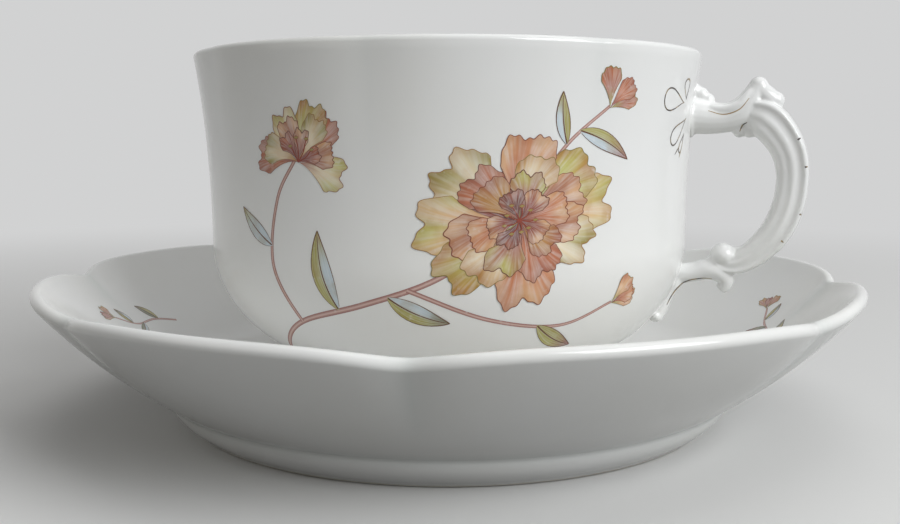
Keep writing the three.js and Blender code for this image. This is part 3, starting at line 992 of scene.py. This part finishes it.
def paintStrokes(name, strokes, place, body, material, wrapOnto=None, over=0):
    pieces = []
    for number, ((columns, rows), shape, loose) in enumerate(strokes):  # the lowest stroke first
        deselectAll()
        bpy.ops.mesh.primitive_grid_add(x_subdivisions=columns, y_subdivisions=rows, size=1)
        piece = bpy.context.object
        flat = readCorners(piece) + 0.5
        u, v, colour = shape(flat[:, 0], flat[:, 1])
        lift = enamel["lift"] + over + enamel["layer"] * number
        moveCorners(piece, place(u, v, lift) * mm)
        paint = piece.data.color_attributes.new("paint", "FLOAT_COLOR", "POINT")
        paint.data.foreach_set("color", np.column_stack((colour, np.full(len(colour), loose))).ravel())
        pieces.append(piece)
    pick(*pieces)
    bpy.ops.object.join()
    piece = bpy.context.object
    piece.name = piece.data.name = name
    if wrapOnto:
        finishWith(piece, "SHRINKWRAP", target=wrapOnto, wrap_method="PROJECT", use_project_y=True,
                   use_negative_direction=True, offset=enamel["lift"] * mm)
    finishWith(piece, "SOLIDIFY", thickness=enamel["thickness"] * mm, offset=0)
    closeSeams(piece)
    pick(piece)
    bpy.ops.object.shade_smooth_by_angle(angle=math.radians(enamel["smoothAngle"]))
    wear(piece, material)
    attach(piece, body)
    print(name, "painted in", len(strokes), "strokes,", len(piece.data.polygons), "faces")
    return piece


def fan(count, turn, sweep, length, spread, *colours):  # petals side by side, taking the colours in turn
    return {"count": count, "turn": turn, "sweep": sweep, "length": length, "spread": spread,
            "colours": colours}


# The spray on the front of the cup, in millimetres round the bowl and above its foot
bud = {"lean": 0.95, "notch": 0.05, "ruffle": 0.025, "ink": 0.14}
spray = {
    "turn": 15,
    "over": 0.025,
    "seed": 7,
    "stems": [
        ([(-44, 3), (-34, 9.5), (-25, 14.5), (-13, 18), (-2, 22), (7, 28)], (0.4, 0.9, 0.8)),
        ([(-25, 14.5), (-28.5, 24), (-27, 33), (-23, 39)], (0.75, 0.6, 0.55)),
        ([(12, 34), (17, 41), (24, 46.5)], (0.7, 0.55, 0.45)),
        ([(-6, 20.5), (6, 16), (18, 14.5), (27, 17.5)], (0.7, 0.6, 0.45)),
    ],
    "leaves": [  # start, heading, length, width, curl, colours
        ((-17, 17), 118, 12, 3.4, -30, ("mist", "leaf", "olive")),
        ((-9, 19.4), -38, 10, 3.0, 30, ("leaf", "mist", "moss")),
        ((-28.4, 26), 155, 9, 2.6, -25, ("mist", "mist", "leaf")),
        ((19, 43), -12, 10, 2.6, -25, ("mist", "leaf", "stem")),
        ((14, 14.8), -42, 9, 2.6, 32, ("leaf", "olive", "stem")),
        ((17, 41), 108, 7.5, 2.2, -20, ("olive", "mist", "leaf")),
    ],
    "large": {
        "centre": (10, 30.5), "lean": 0.86, "leanTurn": 25, "notch": 0.1, "ruffle": 0.026, "ink": 0.15,
        "fans": [
            fan(6, 0, 360, 9.5, 0.8, ("plum", "russet", "rose")),
            fan(8, 10, 360, 14.8, 0.44, ("ochre", "peach", "lime"), ("olive", "lime", "ochre"),
                ("russet", "coral", "peach"), ("ochre", "cream", "olive")),
            fan(7, 36, 360, 11.6, 0.46, ("russet", "rose", "peach"), ("olive", "cream", "ochre"),
                ("plum", "coral", "rose")),
            fan(6, 15, 360, 8.4, 0.5, ("russet", "coral", "peach"), ("plum", "rose", "lime"),
                ("russet", "ochre", "rose")),
            fan(5, 40, 360, 5.2, 0.55, ("plum", "russet", "peach"), ("plum", "plum", "rose")),
        ],
        "stamens": {"count": 9, "turn": 0, "sweep": 360, "reach": 2.2},
    },
    "small": {
        "centre": (-22.5, 38.5), "lean": 0.9, "leanTurn": 60, "notch": 0.1, "ruffle": 0.03, "ink": 0.14,
        "fans": [
            fan(5, -14, 220, 9.4, 0.44, ("rose", "cream", "lime"), ("russet", "coral", "rose"),
                ("olive", "lime", "ochre")),
            fan(4, 8, 180, 7.2, 0.42, ("russet", "rose", "peach"), ("ochre", "cream", "olive")),
            fan(3, 26, 140, 4.8, 0.42, ("plum", "russet", "coral"), ("plum", "rose", "peach")),
        ],
        "stamens": {"count": 4, "turn": 36, "sweep": 110, "reach": 3.4},
    },
    "buds": [
        {**bud, "centre": (24, 46.2), "leanTurn": 60,
         "fans": [fan(3, 22, 105, 5.8, 0.42, ("olive", "rose", "coral"), ("russet", "coral", "rose"))]},
        {**bud, "centre": (27, 17.3), "leanTurn": 30,
         "fans": [fan(3, 0, 90, 5.4, 0.42, ("olive", "peach", "coral"), ("russet", "coral", "peach"))]},
    ],
}


def paintSpray(material):
    rng = random.Random(spray["seed"])
    strokes = []
    for stem in spray["stems"]:
        strokes += drawnStem(*stem)
    for settings in spray["leaves"]:
        strokes += drawnLeaf(*settings)
    for flower in spray["buds"]:
        strokes += drawnBlossom(flower, rng)
    place = onBowl(spray["turn"])
    paintStrokes("stemsAndLeaves", strokes, place, "cup", material)
    for name in ("large", "small"):
        strokes = drawnBlossom(spray[name], rng)
        paintStrokes(name + "Blossom", strokes, place, "cup", material, over=spray["over"])


# Small sprigs inside the saucer and on the back of the cup
sprigs = {
    "saucerTurns": (-82, 2, 104, 196),
    "backTurn": 198,
    "backScale": 1.7,
    "backRise": 10,
    "seed": 11,
    "stem": ([(-8, 9.5), (-3, 11.5), (3, 12.5), (7, 15.5)], (0.5, 0.5, 0.4)),
    "leaves": [
        ((-4, 11.2), 74, 5.5, 1.8, -20, ("moss", "leaf", "moss")),
        ((1, 12.2), -48, 5.2, 1.7, 26, ("mist", "moss", "stem")),
        ((4, 13), 92, 4.8, 1.5, -24, ("leaf", "mist", "moss")),
    ],
    "bud": {
        **bud, "centre": (7, 15.3), "leanTurn": 45, "ruffle": 0.03, "ink": 0.15,
        "fans": [fan(3, 22, 75, 3.6, 0.36, ("olive", "rose", "ochre"), ("plum", "rose", "russet"))],
    },
}


def drawnSprig(rng):
    strokes = drawnStem(*sprigs["stem"])
    for settings in sprigs["leaves"]:
        strokes += drawnLeaf(*settings)
    return strokes + drawnBlossom(sprigs["bud"], rng)


def paintSprigs(material):
    rng = random.Random(sprigs["seed"])
    for number, turn in enumerate(sprigs["saucerTurns"]):
        name = "saucerSprig" + str(number + 1)
        paintStrokes(name, drawnSprig(rng), onSaucer(turn), "saucer", material)
    onBack, scale, rise = onBowl(sprigs["backTurn"]), sprigs["backScale"], sprigs["backRise"]

    def place(u, v, lift):
        return onBack(scale * u, scale * v + rise, lift)

    paintStrokes("backSprig", drawnSprig(rng), place, "cup", material)


# Worn gilt strokes beside the handle's upper root and on its mouldings
gilding = {
    "drops": [((-10.2, 47.9), 100, 3.2, 2.4), ((-11.0, 47.4), 176, 7.4, 3.4),
              ((-8.8, 45.0), 212, 7.0, 2.6), ((-9.0, 42.6), 240, 3.4, 1.4)],
    "dropPeak": 2.6,
    "dashes": [((-10.8, 40.6), (-12.6, 39.3)), ((-9.6, 40.2), (-10.4, 38.8))],
    "lines": [
        ([(44.8, 46.3), (47.3, 45.7), (49.7, 46.5), (51.2, 48.3)], 0.2, "faded"),
        ([(38.9, 13.6), (39.7, 15.3), (40.8, 16.8), (42.4, 17.9), (44.6, 18.35), (46.2, 18.3)], 0.26, "size"),
        ([(49.9, 42.9), (50.3, 43.9), (51.0, 44.4)], 0.24, "size"),
    ],
    "ticks": [((58.9, 41.6), (59.4, 41.9)), ((60.2, 37.2), (60.7, 37.3)),
              ((59.7, 29.6), (60.1, 29.4)), ((57.0, 25.2), (57.4, 24.9))],
    "width": 0.26,
    "dropTaper": (0.5, 0.6),
    "dashTaper": 0.6,
    "tip": 0.1,
    "handleTurn": 90,
    "aside": 8.0,  # the handle's strokes start this far off its plane and are pressed onto it
}


def dropRoute(root, heading, length, width):  # outline of one drop-shaped leaf
    heading = math.radians(heading)
    turns = np.linspace(0, 2 * math.pi, routeSteps["drop"])
    along = length * (1 - np.cos(turns)) / 2
    across = width * np.sin(turns) * (1 - np.cos(turns)) / gilding["dropPeak"]
    u = root[0] + along * math.cos(heading) - across * math.sin(heading)
    v = root[1] + along * math.sin(heading) + across * math.cos(heading)
    return np.stack((u, v), axis=1)


def besideHandle(side):  # mirrors the strokes from one side of the handle to the other
    onSide = onBowl(gilding["handleTurn"])
    return lambda u, v, lift: onSide(side * u, v, lift)


def onHandle(side):
    return lambda u, v, lift: np.stack((u, np.full(len(u), gilding["aside"] * side), cupFoot + v), axis=1)


def paintGilding(material, handlePiece):
    size, width, tip = enamel["size"], gilding["width"], gilding["tip"]
    start, end = gilding["dropTaper"]
    strokes = []
    for drop in gilding["drops"]:
        strokes.append(plainLine("drop", dropRoute(*drop), (width * start, width, width * end), size))
    for dash in gilding["dashes"]:
        route = smoothRoute(dash, routeSteps["dash"])
        strokes.append(plainLine("dash", route, (width * gilding["dashTaper"], width, tip), size))
    for name, side in (("giltFront", 1), ("giltBack", -1)):
        paintStrokes(name, strokes, besideHandle(side), "cup", material)
    strokes = []
    for points, lineWidth, tint in gilding["lines"]:
        route = smoothRoute(points, routeSteps["line"])
        strokes.append(plainLine("line", route, (tip, lineWidth, tip), enamel[tint]))
    for tick in gilding["ticks"]:
        strokes.append(plainLine("dash", smoothRoute(tick, routeSteps["dash"]), (width, width, tip), size))
    for name, side in (("handleGiltFront", -1), ("handleGiltBack", 1)):
        paintStrokes(name, strokes, onHandle(side), "cup", material, handlePiece)


# Camera, at the height and side from which the cup was photographed
view = {
    "lens": 41.2,
    "sensor": 36.0,
    "distance": 185.0,
    "height": 49.3,
    "pitch": 7.07,
    "azimuth": 15.0,
    "right": 0.2,
    "nearest": 10.0,
}


def setCamera():
    deselectAll()
    turn = math.radians(view["azimuth"])
    ahead = Vector((-math.sin(turn), math.cos(turn), 0))
    right = Vector((math.cos(turn), math.sin(turn), 0))
    place = right * view["right"] - ahead * view["distance"] + Vector((0, 0, view["height"]))
    bpy.ops.object.camera_add(location=place * mm, rotation=(math.radians(90 - view["pitch"]), 0, turn))
    camera = bpy.context.object
    camera.data.lens = view["lens"]
    camera.data.sensor_width = view["sensor"]
    camera.data.clip_start = view["nearest"] * mm
    bpy.context.scene.camera = camera


# Floor and light, in metres
studio = {
    "floorSize": 8.0,
    "floorTint": (0.74, 0.74, 0.73),
    "floorBounce": (0.25, 0.25, 0.245),
    "floorRoughness": 0.85,
    "floorFade": (0.12, 0.42),
    "roomTint": (0.64, 0.643, 0.645),
    "worldTint": (0.22, 0.22, 0.22, 1),
    "aim": (0, 0, 0.03),
    "key": {"place": (0.62, -0.28, 0.42), "size": 0.5, "power": 5.0, "tint": (0.97, 0.985, 1.0)},
    "fill": {"place": (-0.6, -0.6, 0.35), "size": 0.7, "power": 0.6, "tint": (1.0, 0.95, 0.84)},
    "top": {"place": (0.1, 0.1, 0.9), "size": 0.8, "power": 1.9, "tint": (1.0, 1.0, 1.0)},
}


def seesRoom(tree):  # 1 for the eye, for reflections and for what shines through, 0 for light that falls
    path = addNode(tree, "LightPath").outputs
    seen = combine(tree, "MAXIMUM", path["Is Camera Ray"], path["Is Glossy Ray"])
    return combine(tree, "MAXIMUM", seen, path["Is Transmission Ray"])


def floorPaper():  # plain near the cup, where its shadow falls, and as pale as the room further off
    material, tree, shader, place = newMaterial("floorPaper")
    shader.inputs["Roughness"].default_value = studio["floorRoughness"]
    away = addNode(tree, "VectorMath", {0: place}, operation="LENGTH").outputs["Value"]
    seen = seesRoom(tree)
    colour = tinted(tree, seen, (*studio["floorBounce"], 1), (*studio["floorTint"], 1))
    tree.links.new(colour, shader.inputs["Base Color"])
    share = combine(tree, "MULTIPLY", seen, between(tree, away, *studio["floorFade"]))
    room = addNode(tree, "Emission", {"Color": (*studio["roomTint"], 1)})
    mix = addNode(tree, "MixShader", {0: share, 1: shader.outputs["BSDF"], 2: room.outputs["Emission"]})
    tree.links.new(mix.outputs["Shader"], tree.nodes["Material Output"].inputs["Surface"])
    return material


def setStudio():
    deselectAll()
    bpy.ops.mesh.primitive_plane_add(size=studio["floorSize"])
    floor = bpy.context.object
    floor.name = "paleFloor"
    wear(floor, floorPaper())
    for name in ("key", "fill", "top"):
        lamp = studio[name]
        deselectAll()
        bpy.ops.object.light_add(type="AREA", location=lamp["place"])
        light = bpy.context.object
        light.name = name + "Light"
        light.data.size = lamp["size"]
        light.data.energy = lamp["power"]
        light.data.color = lamp["tint"]
        aim = Vector(studio["aim"]) - Vector(lamp["place"])
        light.rotation_euler = aim.to_track_quat("-Z", "Y").to_euler()
    world = bpy.data.worlds.new("paleRoom")
    bpy.context.scene.world = world
    world.use_nodes = True
    tree = world.node_tree
    tree.links.new(tinted(tree, seesRoom(tree), studio["worldTint"], (*studio["roomTint"], 1)),
                   tree.nodes["Background"].inputs["Color"])
    bpy.context.scene.view_settings.view_transform = "Standard"


grain, worn = glazeGrain(), wornFinish()
saucerDish = makeSaucer()
wear(saucerDish, porcelain("saucerGlaze", grain, saucer["specks"], standing=0.0))
cupBowl = makeBowl()
wear(cupBowl, porcelain("cupGlaze", grain, cup["specks"], standing=cupFoot))
scrollHandle = makeHandle()
wear(scrollHandle, porcelain("handleGlaze", grain, handle["specks"]))
paint = enamelPaint("enamelPaint", worn)
paintSpray(paint)
paintSprigs(paint)
paintGilding(wornGilt("wornGilt", worn), scrollHandle)
setCamera()
setStudio()
